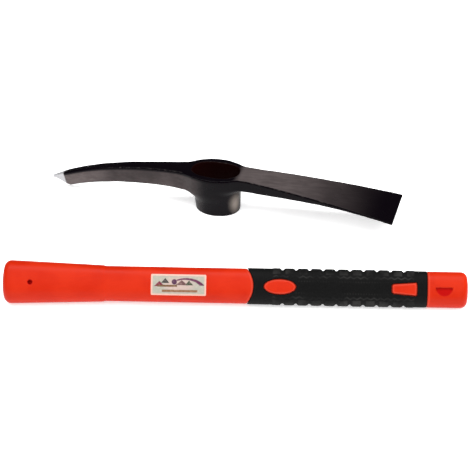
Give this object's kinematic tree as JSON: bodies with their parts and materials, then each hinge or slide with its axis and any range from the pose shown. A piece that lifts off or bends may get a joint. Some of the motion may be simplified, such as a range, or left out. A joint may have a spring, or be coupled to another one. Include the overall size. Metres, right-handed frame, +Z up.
{
  "type": "pick mattock",
  "caption": "Small prospecting pick-mattock, knocked down: a forged black head with a pick and an adze blade, and a red and black moulded handle.",
  "frame": {"origin": "centre of the eye's oval at the foot of the collar, on the surface that the tool lies on", "axes": "+Z up along the eye; +X along the handle, from its flared end to its butt; the handle lies on the -Y side of the head"},
  "size_m": [0.3802, 0.2038, 0.0384],
  "materials": {
    "head_enamel": "semi-gloss black enamel over forged steel, worn along the edges; the pick's point is ground bare",
    "glass_fibre": "sawn glass-fibre rod, lengthwise strands",
    "red_plastic": "moulded polypropylene, semi-gloss",
    "black_rubber": "soft rubber, fine spark texture with zigzag pads",
    "label_film": "printed film sticker"
  },
  "bodies": {
    "handle": {"core_rod": "glass_fibre", "jacket": "red_plastic", "grip": "black_rubber", "label": "label_film"},
    "head": {"head": "head_enamel"}
  },
  "joints": [
    {"name": "head_lift", "type": "slide", "parent": "handle", "child": "head", "axis": [0, 0, 1], "range_m": [0, 0.12]}
  ]
}
